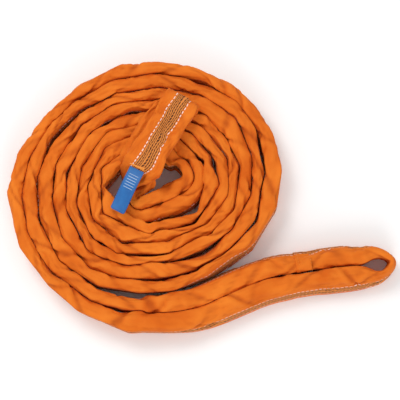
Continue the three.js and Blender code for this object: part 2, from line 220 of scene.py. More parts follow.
# ---- the pair of legs ----
# A stretch of the pair is a dict of arrays: middle, side (from the inner leg to the outer leg), faces (outer
# leg's outer and inner face, inner leg's outer and inner face, measured along side), half_height, roll,
# and how far the top leans along side at the outer face, between the legs and at the inner face.
def pair(middle, side, faces, half_height, height=None, roll=0.0, lean=(0, 0, 0)):
    n = len(middle)
    height = half_height if height is None else height
    return {
        "middle": np.column_stack([middle, np.zeros(n) + height]),
        "side": unit(np.column_stack([side, np.zeros(n)])),
        "faces": np.stack(np.broadcast_arrays(*faces, np.zeros(n))[:4], axis=1),
        "half_height": np.zeros(n) + half_height,
        "roll": np.zeros(n) + roll,
        "lean": np.stack([np.zeros(n) + x for x in lean], axis=1),
    }


def turn_radius(turns):
    ring = np.clip(np.floor(turns).astype(int), 0, len(TURN_RADII) - 1)
    following = np.minimum(ring + 1, len(TURN_RADII) - 1)
    share = turns - np.floor(turns)
    last = TURN_RADII.shape[1] - 1
    place = np.minimum(share * RADII_PER_TURN, last)
    i = np.minimum(np.floor(place).astype(int), last - 1)
    own = lerp(TURN_RADII[ring, i], TURN_RADII[ring, i + 1], smooth(place - i))
    return lerp(own, TURN_RADII[following, 0], smooth((share - STEP_IN_START) / STEP_IN_LENGTH))


def straightened(turns, radius_of, seed, shortest, longest):
    """The stiff sleeve bends at kinks and is nearly straight between them: the radius along its chords."""
    rng = np.random.default_rng(seed)
    kinks = [-0.1]
    while kinks[-1] < len(TURN_RADII):
        around = 2 * math.pi * radius_of(np.array([max(kinks[-1], 0)]))[0]
        kinks.append(kinks[-1] + rng.uniform(shortest, longest) / around)
    kinks = np.array(kinks)
    i = np.clip(np.searchsorted(kinks, turns) - 1, 0, len(kinks) - 2)
    t, ta, tb = [x * 2 * math.pi for x in (turns, kinks[i], kinks[i + 1])]
    ra, rb = radius_of(np.maximum(kinks[i], 0)), radius_of(np.maximum(kinks[i + 1], 0))
    chord = np.sin(tb - ta) / (np.sin(tb - t) / ra + np.sin(t - ta) / rb)
    spring = ra * (1 - np.cos((tb - ta) / 2)) * 0.6
    return chord + spring


def boundary(turns):
    """The turn's outside, with the wander and the kinks that it shares with the turn around it."""

    def wandering(at):
        wander = 2.2 * noise_along(at * 14, SEED) + 1.2 * noise_along(at * 33, SEED + 1)
        return turn_radius(at) + wander * lerp(0.4, 1.0, smooth(at - 0.6))

    return straightened(turns, wandering, SEED + 20, 60, 120)


def between_legs(turns):
    """Where the pair's two legs meet."""

    def wandering(at):
        shift = sum(width * bump(at, place, half) for place, half, width in LEG_SHIFTS)
        middle = (turn_radius(at) + turn_radius(at + 1)) / 2
        return middle + shift + 2.4 * noise_along(at * 17, SEED + 2)

    return straightened(turns, wandering, SEED + 21, 45, 110)


def gap_at(turns, gaps):
    return TOUCH_GAP + sum(width * bump(turns, at, half) for at, half, width in gaps)


def spiral_pair():
    turns = np.linspace(0, LAST_SPIRAL_TURN, 1400)
    angle = -math.pi / 2 - turns * 2 * math.pi
    out = np.column_stack([np.cos(angle), np.sin(angle)])
    outer, inner = boundary(turns), boundary(turns + 1)
    radius = (outer + inner) / 2
    middle = np.clip(between_legs(turns), inner + THINNEST_LEG, outer - THINNEST_LEG) - radius
    leg_gap = gap_at(turns, LEG_GAPS) / 2
    faces = (
        outer - radius - gap_at(turns, TURN_GAPS) / 2,
        middle + leg_gap,
        middle - leg_gap,
        inner - radius + gap_at(turns + 1, TURN_GAPS) / 2,
    )
    lean = [LEAN * noise_along(turns * 9, SEED + 22) * smooth(turns * 1.5 - 0.5)]
    lean += [LEAN * noise_along(turns * 11, SEED + 23)]
    lean += [LEAN * noise_along((turns + 1) * 9, SEED + 22)]
    return pair(radius[:, None] * out, out, faces, EDGE_HALF_HEIGHT, lean=lean)


def curve_pair(points, half_width, half_height, reverse=False, gap=lambda p: 0.0):
    """A stretch of pair along a curve; the outer leg is on its left, or on its right if it is reversed."""
    share = arc_length(points) / arc_length(points)[-1]
    tangent = unit(np.gradient(points, axis=0))
    side = np.column_stack([-tangent[:, 1], tangent[:, 0]])
    width = half_width(share)
    half_gap = (TOUCH_GAP + gap(points)) / 2
    if reverse:
        side = -side
    faces = (width, half_gap, -half_gap, -width)
    stretch = pair(points, side, faces, half_height(share))
    return {k: v[::-1] for k, v in stretch.items()} if reverse else stretch


def tail_pair():
    whole = curve_through(TAIL_ROUTE + [TAIL_ROUTE_END])
    at_hinge = np.argmin(np.linalg.norm(whole - BIGHT_HINGE, axis=1))
    share_of_whole = arc_length(whole)[at_hinge] / arc_length(whole)[-1]
    at, half, width = TAIL_LEG_GAP
    return curve_pair(
        whole[1 : at_hinge + 1],
        lambda t: lerp(COIL_HALF_WIDTH, TAIL_HALF_WIDTH, smooth(t * share_of_whole * 1.9)),
        lambda t: lerp(EDGE_HALF_HEIGHT, TAIL_HALF_HEIGHT, smooth(t * share_of_whole * 2)),
        reverse=True,
        gap=lambda p: width * bump(p[:, 0], at, half),
    )


def tight_turn(count):
    (x, y), radius = TIGHT_TURN
    headings = np.radians(np.linspace(TIGHT_TURN_FROM, CROSSING_ANGLE, count + 1))
    return [[x - radius * math.sin(h), y + radius * math.cos(h)] for h in headings]


def inner_end_pair():
    angle = -math.pi / 2 - LAST_SPIRAL_TURN * 2 * math.pi
    ends = turn_radius(np.array([LAST_SPIRAL_TURN, LAST_SPIRAL_TURN + 1]))
    start = ends.mean() * np.array([math.cos(angle), math.sin(angle)])
    at, half, extra = INNER_SPREAD
    return curve_pair(
        curve_through([start, *INNER_ROUTE, *tight_turn(6)])[3:],
        lambda t: INNER_HALF_WIDTH + extra * bump(t, at, half),
        lambda t: np.full(len(t), EDGE_HALF_HEIGHT),
    )


def climb_pair():
    """Rolling over, the pair grows wider than it is tall; its top rises steadily to the flat pair's top."""
    distance = np.arange(3.0, INNER_HINGE_ALONG, 1.0)
    along = heading_vector(CROSSING_ANGLE)[:2]
    t = smooth(distance / CLIMB_LENGTH)
    width = lerp(INNER_HALF_WIDTH, FLAT_HALF_THICKNESS, t)
    tall = lerp(EDGE_HALF_HEIGHT, FLAT_HALF_WIDTH, t)
    top = lerp(2 * EDGE_HALF_HEIGHT, FLAT_PAIR_HEIGHT + FLAT_HALF_THICKNESS, t)
    reach = tall * np.cos(t * math.pi / 2) + width * np.sin(t * math.pi / 2)
    height = np.maximum(top - reach, reach)
    side = np.tile([-along[1], along[0]], (len(distance), 1))
    half_gap = TOUCH_GAP / 2
    faces = (width, half_gap, -half_gap, -width)
    return pair(CROSSING_FROM + distance[:, None] * along, side, faces, tall, height, t * math.pi / 2)


def joined(stretches):
    return {k: np.concatenate([s[k] for s in stretches]) for k in stretches[0]}


# ---- the rings of one leg ----
# Rings are a dict of arrays: centre, face (towards the loop's outside, where the marking band runs), tall
# (across the flat of the sleeve), half thickness thin and half height high.
def leg_rings(stretch, outer):
    roll = stretch["roll"][:, None]
    side, faces = stretch["side"], stretch["faces"]
    thin_axis = np.cos(roll) * side + np.sin(roll) * UP
    tall_axis = -np.sin(roll) * side + np.cos(roll) * UP
    far, near = (faces[:, 0], faces[:, 1]) if outer else (faces[:, 2], faces[:, 3])
    lean = stretch["lean"]
    rings = {
        "centre": stretch["middle"] + ((far + near) / 2)[:, None] * thin_axis,
        "face": thin_axis if outer else -thin_axis,
        "tall": tall_axis,
        "thin": (far - near) / 2,
        "high": stretch["half_height"],
        "lean_face": lean[:, 0] if outer else -lean[:, 2],
        "lean_back": lean[:, 1] if outer else -lean[:, 1],
    }
    return rings if outer else {k: v[::-1] for k, v in rings.items()}


def bight_rings(rows, place, tall_axis, drift=0.0):
    """A leg bent back on itself: out along one side, around the tip and back."""
    out = np.array(rows, float)
    there = out * [1, -1, 1, 1]
    both = np.vstack([there, out[:-1][::-1]])
    tip = out[-1, 0]
    both[:, 1] += drift * smooth((both[:, 0] - DRIFT_START) / (tip - DRIFT_START))
    knots = arc_length(both[:, :2])
    flat = curve_through(both[:, :2])
    length = arc_length(flat)
    at = np.interp(length, length[::40], knots)
    heading = unit(np.gradient(flat, axis=0))
    zero = place(np.zeros((1, 2)))
    face = place(np.column_stack([heading[:, 1], -heading[:, 0]])) - zero
    return {
        "centre": place(flat),
        "face": unit(face),
        "tall": np.tile(tall_axis, (len(flat), 1)),
        "thin": np.interp(at, knots, both[:, 2]),
        "high": np.interp(at, knots, both[:, 3]),
        "lean_face": np.zeros(len(flat)),
        "lean_back": np.zeros(len(flat)),
    }


BIGHT_AHEAD = heading_vector(BIGHT_HEADING)
BIGHT_LEFT = np.cross(UP, BIGHT_AHEAD)
ALONG = heading_vector(CROSSING_ANGLE)
ACROSS = np.cross(UP, ALONG)
INNER_HINGE = np.array([*CROSSING_FROM, FLAT_PAIR_HEIGHT]) + ALONG * INNER_HINGE_ALONG


def place_outer(p):
    return np.array([*BIGHT_HINGE, 0.0]) + p[:, :1] * BIGHT_AHEAD + p[:, 1:] * BIGHT_LEFT


def place_inner(p):
    sink = INNER_TIP_SINK * smooth((p[:, :1] - 20) / 120)
    return INNER_HINGE + p[:, :1] * ALONG - (p[:, 1:] + sink) * UP


def outer_bight_rings():
    rings = bight_rings(OUTER_BIGHT, place_outer, UP, OUTER_BIGHT_DRIFT)
    rings["centre"][:, 2] = rings["high"] + np.where(rings["high"] < 31, 2.0, 0.0)
    return {k: v[::-1] for k, v in rings.items()}


def inner_bight_rings():
    rings = bight_rings(INNER_BIGHT, place_inner, -ACROSS)
    return rings


def ahead_of(centre, origin, direction):
    return (centre[:, :2] - np.array(origin)[:2]) @ direction[:2]


def resampled(rings, step):
    length = arc_length(rings["centre"])
    keep = np.concatenate([[True], np.diff(length) > 1e-6])
    at = np.arange(0, length[-1], step)
    made = {}
    for k, v in rings.items():
        columns = v[keep].reshape(keep.sum(), -1)
        spread = np.column_stack([np.interp(at, length[keep], c) for c in columns.T])
        made[k] = spread.reshape(len(at), *v.shape[1:])
    return made


def blurred(values, sigma):
    """A gaussian blur along the first axis; the ends stay where they are."""
    reach = int(3 * sigma) + 1
    kernel = np.exp(-0.5 * (np.arange(-reach, reach + 1) / sigma) ** 2)
    kernel /= kernel.sum()
    before = 2 * values[:1] - values[reach:0:-1]
    after = 2 * values[-1:] - values[-2 : -reach - 2 : -1]
    padded = np.concatenate([before, values, after])
    flat = padded.reshape(len(padded), -1)
    out = np.column_stack([np.convolve(c, kernel, mode="valid") for c in flat.T])
    return out.reshape(values.shape)


def show_lower_leg(loop):
    """The lower leg of the flat crossing shows a little beside the upper one."""
    on_flat = 1 - np.abs(loop["tall"][:, 2])
    inner_ahead = ahead_of(loop["centre"], INNER_HINGE, ALONG)
    at_tip = int(np.argmax(np.where(on_flat > 0.7, inner_ahead, -1e9)))
    beyond_tip = (np.arange(len(on_flat)) - at_tip) * RING_STEP
    beside = LOWER_LEG_SHIFT * on_flat * smooth(beyond_tip / 70) * smooth((inner_ahead + 100) / 60)
    loop["centre"] = loop["centre"] + beside[:, None] * ACROSS


def slope_tail_flanks(loop):
    """The tail's flanks slope, so its marking band shows from above."""
    x, y = loop["centre"][:, 0], loop["centre"][:, 1]
    slope = -TAIL_LEAN * smooth((x - TAIL_LEAN_STARTS) / TAIL_LEAN_GROWS) * smooth((TAIL_BELOW_Y - y) / 40)
    slope = slope * (1 - 0.5 * smooth((x - TAIL_LEAN_EASES) / TAIL_LEAN_EASING))
    loop["lean_face"] = loop["lean_face"] + slope


def whole_loop():
    """The sleeve's rings from one end to the other: around the outer bight, in along the outer leg, around
    the inner bight, and out along the inner leg to the sewn joint."""
    stretch = joined([tail_pair(), spiral_pair(), inner_end_pair(), climb_pair()])
    outer_leg, inner_leg = leg_rings(stretch, True), leg_rings(stretch, False)
    bight = outer_bight_rings()
    ahead = ahead_of(bight["centre"], BIGHT_HINGE, BIGHT_AHEAD)
    on_upper = np.arange(len(ahead)) < len(ahead) / 2
    first = {k: v[~(on_upper & (ahead < JOINT_START))] for k, v in bight.items()}
    last = {k: v[on_upper & (ahead < JOINT_END)] for k, v in bight.items()}
    loop = joined([first, outer_leg, inner_bight_rings(), inner_leg, last])
    loop = resampled(loop, RING_STEP)
    loop = {k: blurred(v, ROUTE_BLUR / RING_STEP) for k, v in loop.items()}
    loop["face"], loop["tall"] = unit(loop["face"]), unit(loop["tall"])
    show_lower_leg(loop)
    slope_tail_flanks(loop)
    loop["ahead"] = unit(np.gradient(loop["centre"], axis=0))
    loop["s"] = np.arange(len(loop["thin"])) * RING_STEP
    return loop


# ---- the sleeve's surface ----
JOINT_START, JOINT_END = 36.0, 62.0  # ahead of the outer bight's hinge: the sleeve's two ends overlap here
SECTION_POWER = 4.2
SECTION_SHAPE = (10.0, 37.0)  # half thickness and half height for which the points are evenly spread


def section(count):
    """Points spread evenly around a leg's section of half size 1, from the middle of its outer face."""
    a = np.linspace(0, 2 * math.pi, 4001)
    power = 2 / SECTION_POWER
    x = np.sign(np.cos(a)) * np.abs(np.cos(a)) ** power
    z = np.sign(np.sin(a)) * np.abs(np.sin(a)) ** power
    length = arc_length(np.column_stack([x * SECTION_SHAPE[0], z * SECTION_SHAPE[1]]))
    at = np.linspace(0, length[-1], count, endpoint=False)
    return np.interp(at, length, x), np.interp(at, length, z)


def wrinkles(loop, count):
    """How far the fabric stands out from the plain section, by ring and by point around it."""
    s = loop["s"][:, None]
    turn = np.linspace(0, 2 * math.pi, count, endpoint=False)[None, :]
    c, d = np.cos(turn), np.sin(turn)
    warp = 0.6 * noise(s / 70, 1.3 * c, 1.3 * d, SEED + 3)
    broad = noise(s / 120, 2.0 * c + warp, 2.0 * d, SEED + 4)
    fold = np.abs(noise(s / 130 + warp, 4.4 * c, 4.4 * d + warp, SEED + 5))
    busy = smooth(0.5 + 1.2 * noise_along(loop["s"] / 160, SEED + 6))[:, None]
    pucker = np.abs(noise(s / 24 + 2.5 * warp, 2.6 * c, 2.6 * d, SEED + 7))
    fine = noise(s / 11, 7 * c, 7 * d, SEED + 8)
    return 1.5 * broad + 5.0 * (fold - 0.3) + busy * 2.6 * (pucker - 0.3) + 0.25 * fine


def buckles(loop, count):
    """Where the stiff sleeve has buckled: a crease runs slantwise over the leg, its top is pressed down, and
    the fabric beside it stands up. Returns how far it stands out, and how far the top is pressed down."""
    rng = np.random.default_rng(SEED + 9)
    s = loop["s"]
    turn = np.linspace(0, 2 * math.pi, count, endpoint=False)[None, :]
    out, drop = np.zeros((len(s), count)), np.zeros(len(s))
    at = 30.0
    while at < s[-1]:
        slant = rng.choice([-1, 1]) * rng.uniform(25, 65)
        depth, width = rng.uniform(1.5, 4.5), rng.uniform(5, 10)
        centre = rng.normal(math.pi / 2, 0.7)
        near = np.abs(s - at) < 140
        x = s[near, None] - at - slant * np.cos(turn)
        mask = np.exp(-((np.angle(np.exp(1j * (turn - centre))) / 0.85) ** 2))
        out[near] -= depth * mask * np.exp(-((x / width) ** 2))
        out[near] += 0.45 * depth * mask * np.exp(-(((x - 2.4 * width) / (1.6 * width)) ** 2))
        drop += rng.uniform(0, 5) * bump(s, at, rng.uniform(12, 26))
        at += rng.uniform(28, 95)
    return out, drop


def sleeve_grid(loop):
    """The sleeve's surface: for each ring and each point around it, the place across and along its flat."""
    x, z = section(AROUND)
    thin, high = loop["thin"][:, None], loop["high"][:, None]
    upright = np.clip(loop["tall"][:, 2], 0, 1) ** 2
    crease, drop = buckles(loop, AROUND)
    drop = (drop + 2.5 + 3.5 * noise_along(loop["s"] / 130, SEED + 10)) * upright
    px, pz = thin * x, high * z
    rise = smooth((pz / high + 0.2) / 1.2)
    pz = pz - drop[:, None] * rise
    nx, nz = x / thin, z / high
    size = np.hypot(nx, nz)
    out = wrinkles(loop, AROUND) + crease
    return px + out * nx / size, pz + out * nz / size, out - blurred(out, RELIEF_BLUR / RING_STEP)


def placed(px, pz, loop):
    """The surface's points. None crosses into the next leg or the floor, and the leg's top leans over."""
    thin, high = loop["thin"][:, None], loop["high"][:, None]
    px = np.clip(px, -thin, thin)
    up = np.clip(pz / high * 0.5 + 0.5, 0, 1) ** 2
    px = px + up * lerp(loop["lean_back"][:, None], loop["lean_face"][:, None], (px / thin + 1) / 2)
    grid = loop["centre"][:, None] + px[..., None] * loop["face"][:, None]
    grid = grid + pz[..., None] * loop["tall"][:, None]
    grid[..., 2] = np.maximum(grid[..., 2], 0.2)
    return grid


CLOTH_STEP, CLOTH_AROUND = 2, 2  # every second ring and point of the fine grid is simulated
CLOTH_FRAMES = 16
CLOTH_CAP = 6.0  # how far the simulation may move a point


def settled(grid, loop):
    """The fabric is a little too long for its leg, so it buckles: a cloth simulation of the whole sleeve.
    Returns how far each point has moved, across the leg and along its flat."""
    coarse = grid[::CLOTH_STEP, ::CLOTH_AROUND]
    obj = tube_mesh("sleeve_cloth", coarse, np.arange(len(coarse)), 1.0)
    cloth = obj.modifiers.new("cloth", "CLOTH")
    cs = cloth.settings
    cs.quality = 4
    cs.mass = 0.15
    cs.tension_stiffness = cs.compression_stiffness = 25
    cs.shear_stiffness = 8
    cs.bending_stiffness = 0.05
    cs.use_pressure = True
    cs.uniform_pressure_force = 1.0
    cs.shrink_min = -0.12
    cs.effector_weights.gravity = 0
    cloth.collision_settings.use_collision = False
    cloth.point_cache.frame_start, cloth.point_cache.frame_end = 1, CLOTH_FRAMES
    for frame_number in range(1, CLOTH_FRAMES + 1):
        bpy.context.scene.frame_set(frame_number)
    evaluated = obj.evaluated_get(bpy.context.evaluated_depsgraph_get())
    co = np.empty(len(evaluated.data.vertices) * 3)
    evaluated.data.vertices.foreach_get("co", co)
    moved = co.reshape(coarse.shape) / MM - COIL_CENTRE - coarse
    bpy.data.objects.remove(obj)
    bpy.context.scene.frame_set(1)
    moved -= blurred(moved.mean(1), 5)[:, None]  # the leg as a whole stays where it lies
    size = np.linalg.norm(moved, axis=-1, keepdims=True)
    moved *= CLOTH_CAP * np.tanh(size / CLOTH_CAP) / np.maximum(size, 1e-6)
    moved = finer(moved, grid.shape)
    return (moved * loop["face"][:, None]).sum(-1), (moved * loop["tall"][:, None]).sum(-1)


def finer(values, shape):
    """Values on the coarse grid, spread to the fine one."""
    rows = np.minimum(np.arange(shape[0]) / CLOTH_STEP, len(values) - 1)
    low = np.floor(rows).astype(int)
    part = (rows - low)[:, None, None]
    high = np.minimum(low + 1, len(values) - 1)
    by_row = values[low] * (1 - part) + values[high] * part
    columns = np.arange(shape[1]) / CLOTH_AROUND
    low = np.floor(columns).astype(int)
    part = (columns - low)[None, :, None]
    high = (low + 1) % values.shape[1]
    return by_row[:, low] * (1 - part) + by_row[:, high] * part


def to_row(points):
    return (points + COIL_CENTRE) * MM


def tube_mesh(name, grid, s, girth, painted_fold_light=None):
    """A tube over a grid of rings. Its UV map holds the distance along and around, in metres, and its fold
    attribute is 1 at the bottom of a fold and below 0 on a ridge; the sleeve's material paints shade and
    highlight from it."""
    rows, count = grid.shape[:2]
    points = to_row(grid).reshape(-1, 3)
    i, j = np.meshgrid(np.arange(rows - 1), np.arange(count), indexing="ij")
    k = (j + 1) % count
    row, after = i * count, (i + 1) * count
    quads = np.stack([row + j, after + j, after + k, row + k], -1).reshape(-1, 4)
    mesh = bpy.data.meshes.new(name)
    mesh.vertices.add(len(points))
    mesh.vertices.foreach_set("co", points.ravel())
    mesh.loops.add(quads.size)
    mesh.loops.foreach_set("vertex_index", quads.ravel().astype(np.int32))
    mesh.polygons.add(len(quads))
    mesh.polygons.foreach_set("loop_start", np.arange(0, quads.size, 4, dtype=np.int32))
    mesh.polygons.foreach_set("loop_total", np.full(len(quads), 4, dtype=np.int32))
    mesh.polygons.foreach_set("use_smooth", np.ones(len(quads), dtype=bool))
    along = np.stack([s[i], s[i + 1], s[i + 1], s[i]], -1).reshape(-1)
    turn = np.stack([j, j, j + 1, j + 1], -1).reshape(-1) / count
    around = np.where(turn > 0.5, turn - 1, turn)
    around = np.where((np.repeat(j.ravel(), 4) >= count // 2) & (turn == 0.5), -0.5, around)
    uv = mesh.uv_layers.new(name="Length and girth")
    uv.data.foreach_set("uv", np.column_stack([along * MM, around * girth * MM]).ravel())
    if painted_fold_light is not None:
        fold = mesh.attributes.new("fold", "FLOAT", "POINT")
        fold.data.foreach_set("value", np.clip(painted_fold_light, -1, 1).astype(np.float32).ravel())
    return linked(name, mesh)


def linked(name, mesh):
    mesh.update(calc_edges=True)
    mesh.validate()
    obj = bpy.data.objects.new(name, mesh)
    bpy.context.scene.collection.objects.link(obj)
    return obj


def sheet_mesh(name, grid, uv, thickness):
    """A sheet of fabric over a grid of points in mm, with both sides and its edges."""
    rows, count = grid.shape[:2]
    normal = unit(np.cross(np.gradient(grid, axis=1), np.gradient(grid, axis=0)))
    points = np.concatenate([grid.reshape(-1, 3), (grid - normal * thickness).reshape(-1, 3)])
    half = rows * count
    faces = []
    for i in range(rows - 1):
        for j in range(count - 1):
            quad = [i * count + j, i * count + j + 1, (i + 1) * count + j + 1, (i + 1) * count + j]
            faces += [quad, [half + k for k in reversed(quad)]]
    rim = list(range(count))
    rim += [i * count + count - 1 for i in range(1, rows)]
    rim += [(rows - 1) * count + j for j in range(count - 2, -1, -1)]
    rim += [i * count for i in range(rows - 2, 0, -1)]
    for k, a in enumerate(rim):
        b = rim[(k + 1) % len(rim)]
        faces.append([b, a, half + a, half + b])
    mesh = bpy.data.meshes.new(name)
    mesh.from_pydata([tuple(p) for p in to_row(points)], [], faces)
    layer = mesh.uv_layers.new(name="Width and length")
    both = np.concatenate([uv.reshape(-1, 2), uv.reshape(-1, 2)])
    for corner, loop_ in zip(layer.data, mesh.loops):
        corner.uv = both[loop_.vertex_index]
    return linked(name, mesh)


def stitches_mesh(name, places, heading, out, length, width):
    """Separate stitches of thread: each a short bar that dips into the fabric at both ends."""
    points, faces = [], []
    # Along the stitch's length, its size there, and how far it stands out.
    half_way = [(-0.5, 0.35, -0.4), (-0.3, 0.9, 0.35)]
    stations = [*half_way, (0.0, 1.0, 0.6), *[(-x, size, lift) for x, size, lift in reversed(half_way)]]
    for place, h, o in zip(places, unit(heading), unit(out)):
        side = np.cross(o, h)
        first = len(points)
        for along, size, lift in stations:
            centre = place + h * along * length + o * lift * width
            for k in range(6):
                a = k * math.pi / 3
                points.append(centre + (side * math.cos(a) + o * math.sin(a)) * size * width / 2)
        for i in range(len(stations) - 1):
            for k in range(6):
                a, b = first + i * 6 + k, first + i * 6 + (k + 1) % 6
                faces.append([a, b, b + 6, a + 6])
        faces.append([first + k for k in range(5, -1, -1)])
        faces.append([first + 24 + k for k in range(6)])
    mesh = bpy.data.meshes.new(name)
    mesh.from_pydata([tuple(p) for p in to_row(np.array(points))], [], faces)
    return linked(name, mesh)


# ---- materials ----
class Nodes:
    """A material's node tree, with short ways to add maths."""

    def __init__(self, name):
        self.material = bpy.data.materials.new(name)
        self.material.use_nodes = True
        self.tree = self.material.node_tree
        self.shader = self.tree.nodes["Principled BSDF"]

    def add(self, kind, **settings):
        node = self.tree.nodes.new(kind)
        for key, value in settings.items():
            setattr(node, key, value)
        return node

    def put(self, socket, value):
        if isinstance(value, bpy.types.NodeSocket):
            self.tree.links.new(value, socket)
        else:
            socket.default_value = value

    def maths(self, operation, *values):
        node = self.add("ShaderNodeMath", operation=operation)
        for socket, value in zip(node.inputs, values):
            self.put(socket, value)
        return node.outputs[0]

    def between(self, value, low, high):
        """1 where value lies between low and high, with soft edges a twentieth of the width."""
        edge = (high - low) / 20
        rise = self.ramp(value, low - edge, low + edge)
        fall = self.ramp(value, high + edge, high - edge)
        return self.maths("MULTIPLY", rise, fall)

    def ramp(self, value, low, high):
        node = self.add("ShaderNodeMapRange")
        self.put(node.inputs["Value"], value)
        node.inputs["From Min"].default_value = low
        node.inputs["From Max"].default_value = high
        return node.outputs["Result"]

    def mix(self, share, a, b):
        node = self.add("ShaderNodeMix", data_type="RGBA")
        self.put(node.inputs[0], share)
        self.put(node.inputs[6], a)
        self.put(node.inputs[7], b)
        return node.outputs[2]

    def uv(self):
        node = self.add("ShaderNodeSeparateXYZ")
        self.put(node.inputs[0], self.add("ShaderNodeTexCoord").outputs["UV"])
        return [self.maths("MULTIPLY", node.outputs[k], 1000.0) for k in (0, 1)]

    def noise(self, scale, detail=3.0, vector=None):
        node = self.add("ShaderNodeTexNoise")
        node.inputs["Scale"].default_value = scale
        node.inputs["Detail"].default_value = detail
        coordinates = self.add("ShaderNodeTexCoord").outputs["Object"] if vector is None else vector
        self.put(node.inputs["Vector"], coordinates)
        return node.outputs["Fac"]

    def bump(self, height, strength, distance):
        node = self.add("ShaderNodeBump")
        self.put(node.inputs["Height"], height)
        node.inputs["Strength"].default_value = strength
        node.inputs["Distance"].default_value = distance
        self.put(self.shader.inputs["Normal"], node.outputs["Normal"])

    def finish(self, **values):
        for key, value in values.items():
            self.put(self.shader.inputs[key.replace("_", " ")], value)
        return self.material


ORANGE = (0.74, 0.150, 0.005, 1)
LIGHT_ORANGE = (0.88, 0.240, 0.022, 1)
DEEP_ORANGE = (0.60, 0.095, 0.003, 1)
# The next colour is painted shade, laid into the bottom of the fabric's folds.
FOLD_SHADE_ORANGE = (0.36, 0.05, 0.002, 1)
BAND_BROWN = (0.075, 0.022, 0.01, 1)
BAND_TAN = (0.72, 0.235, 0.045, 1)
LABEL_BLUE = (0.001, 0.10, 0.34, 1)
LABEL_DARK = (0.004, 0.06, 0.26, 1)
LABEL_INK = (0.62, 0.74, 0.86, 1)
TRACER = (0.92, 0.68, 0.60, 1)
BAND_HALF_WIDTH = 13.5  # mm
BAND_LINE_PITCH = 3.8
TRACER_AT = (14.2, 16.0)


def sleeve_material():
    n = Nodes("woven_orange_sleeve")
    along, around = n.uv()
    drift = n.maths("MULTIPLY", n.maths("SUBTRACT", n.noise(9, 2), 0.5), 7.0)
    off_band = n.maths("ABSOLUTE", n.maths("ADD", around, drift))
    # Threads: fine diagonal twill.
    twill = n.maths("SINE", n.maths("MULTIPLY", n.maths("ADD", along, around), 2 * math.pi / 1.5))
    ribs = n.maths("SINE", n.maths("MULTIPLY", around, 2 * math.pi / 1.1))
    thread = n.maths("ADD", n.maths("MULTIPLY", twill, 0.5), n.maths("MULTIPLY", ribs, 0.5))
    cloth = n.mix(n.ramp(n.noise(14, 4), 0.3, 0.7), DEEP_ORANGE, LIGHT_ORANGE)
    cloth = n.mix(0.4, cloth, ORANGE)
    cloth = n.mix(n.maths("MULTIPLY", n.ramp(thread, 1.0, -1.0), 0.16), cloth, DEEP_ORANGE)
    # Painted shade: the fabric is darkened at the bottom of its folds, where shade falls.
    painted_fold_light = n.add("ShaderNodeAttribute", attribute_name="fold").outputs["Fac"]
    cloth = n.mix(n.maths("MULTIPLY", n.ramp(painted_fold_light, 0.0, 1.0), 0.55), cloth, FOLD_SHADE_ORANGE)
    # Painted highlight: the ridges between the folds are painted lighter, as if lit.
    cloth = n.mix(n.maths("MULTIPLY", n.ramp(painted_fold_light, 0.0, -1.0), 0.5), cloth, LIGHT_ORANGE)
    # The marking band: dark lines woven as a herringbone, with a pale tracer line along each edge.
    line = n.maths("FRACT", n.maths("DIVIDE", n.maths("ADD", around, drift), BAND_LINE_PITCH))
    row = n.maths("FLOOR", n.maths("DIVIDE", n.maths("ADD", around, drift), BAND_LINE_PITCH))
    slant = n.maths("SUBTRACT", n.maths("MULTIPLY", n.maths("FLOORED_MODULO", row, 2.0), 2.0), 1.0)
    dash = n.maths("FRACT", n.maths("ADD", n.maths("DIVIDE", along, 7.5), n.maths("MULTIPLY", slant, line)))
    dark = n.maths("MULTIPLY", n.between(line, 0.1, 0.62), n.between(dash, 0.0, 0.82))
    band = n.mix(dark, BAND_TAN, BAND_BROWN)
    colour = n.mix(n.between(off_band, -BAND_HALF_WIDTH, BAND_HALF_WIDTH), cloth, band)
    stitch = n.between(n.maths("FRACT", n.maths("DIVIDE", along, 9.0)), 0.05, 0.7)
    tracer = n.maths("MULTIPLY", n.between(off_band, *TRACER_AT), stitch)
    colour = n.mix(tracer, colour, TRACER)
    n.bump(n.maths("ADD", thread, n.noise(400, 2)), 0.25, 0.0004)
    return n.finish(
        Base_Color=colour,
        Roughness=0.8,
        Sheen_Weight=0.12,
        Sheen_Roughness=0.3,
        Sheen_Tint=(1, 0.6, 0.4, 1),
        Specular_IOR_Level=0.2,
    )


def thread_material():
    return Nodes("orange_thread").finish(Base_Color=(0.80, 0.27, 0.03, 1), Roughness=0.6)


def label_material(width, length):
    """A blue coated tag with plain ruled lines and a darker hem."""
    n = Nodes("blue_label")
    across, down = n.uv()
    line = n.maths("FRACT", n.maths("DIVIDE", down, 5.5))
    ruled = n.maths("MULTIPLY", n.between(line, 0.42, 0.58), n.between(down, 13, 45))
    ruled = n.maths("MULTIPLY", ruled, n.between(n.maths("ABSOLUTE", across), -1, width / 2 - 6))
    edge = n.maths("MAXIMUM", n.ramp(n.maths("ABSOLUTE", across), width / 2 - 2, width / 2 - 1.2),
                   n.ramp(down, length - 3, length - 2.2))
    colour = n.mix(n.ramp(n.noise(60, 3), 0.35, 0.65), LABEL_BLUE, (0.003, 0.13, 0.40, 1))
    colour = n.mix(n.maths("MULTIPLY", edge, 0.7), colour, LABEL_DARK)
    colour = n.mix(n.maths("MULTIPLY", ruled, 0.8), colour, LABEL_INK)
    n.bump(n.noise(300, 3), 0.2, 0.0004)
    return n.finish(Base_Color=colour, Roughness=0.45)


def yarn_material():
    n = Nodes("core_yarn")
    along, around = n.uv()
    twist = n.maths("ADD", around, n.maths("MULTIPLY", along, 0.08))
    strands = n.maths("SINE", n.maths("MULTIPLY", twist, 4.0))
    colour = n.mix(n.ramp(strands, -1, 1), (0.55, 0.5, 0.4, 1), (0.82, 0.78, 0.68, 1))
    n.bump(strands, 0.5, 0.0006)
    return n.finish(Base_Color=colour, Roughness=0.85)


# ---- camera, light and floor ----
CAMERA = {"elevation": 80.0, "distance": 2.3, "target": (-0.005, -0.010, 0.045), "view": 0.806}


